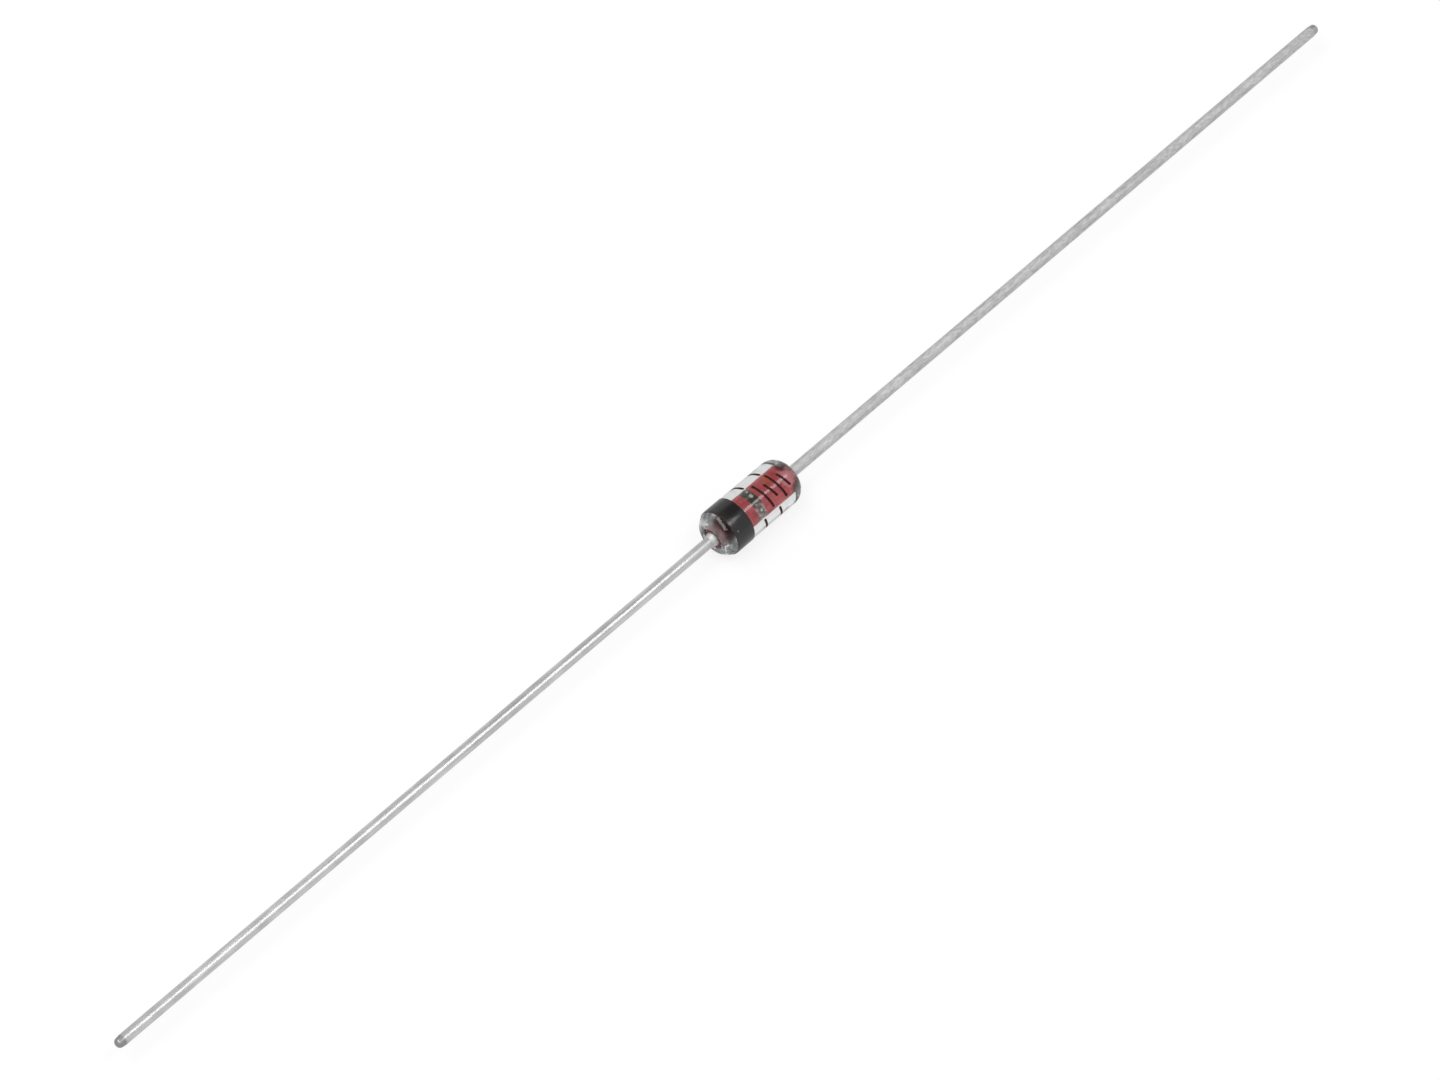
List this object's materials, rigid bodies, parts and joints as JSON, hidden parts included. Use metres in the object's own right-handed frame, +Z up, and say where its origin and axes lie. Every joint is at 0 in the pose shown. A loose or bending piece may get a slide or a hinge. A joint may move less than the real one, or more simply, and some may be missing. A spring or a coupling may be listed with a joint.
{
  "type": "zener diode",
  "caption": "Axial-lead glass zener diode: a clear sealed sleeve with rounded ends, red slugs clamping the die, a black cathode band and straight tinned wire leads.",
  "frame": {"origin": "centre of the glass body, on the axis of the leads", "axes": "+X along the leads from the banded cathode end to the anode end, +Z up"},
  "size_m": [0.0598, 0.0018, 0.0018],
  "materials": {
    "glass": "clear lead glass, fire polished",
    "band_paint": "black paint with a soft sheen",
    "slug_oxide": "red copper oxide seen through the glass",
    "silicon": "dark grey silicon, polished faces and sawn edges",
    "silver": "plated silver, satin",
    "tinned_wire": "tinned, satin, drawn along its length"
  },
  "bodies": {
    "root": {"glass_envelope": "glass", "cathode_band": "band_paint", "cathode_slug": "slug_oxide", "anode_slug": "slug_oxide", "zener_die": "silicon", "anode_bump": "silver", "cathode_lead": "tinned_wire", "anode_lead": "tinned_wire"}
  },
  "joints": []
}
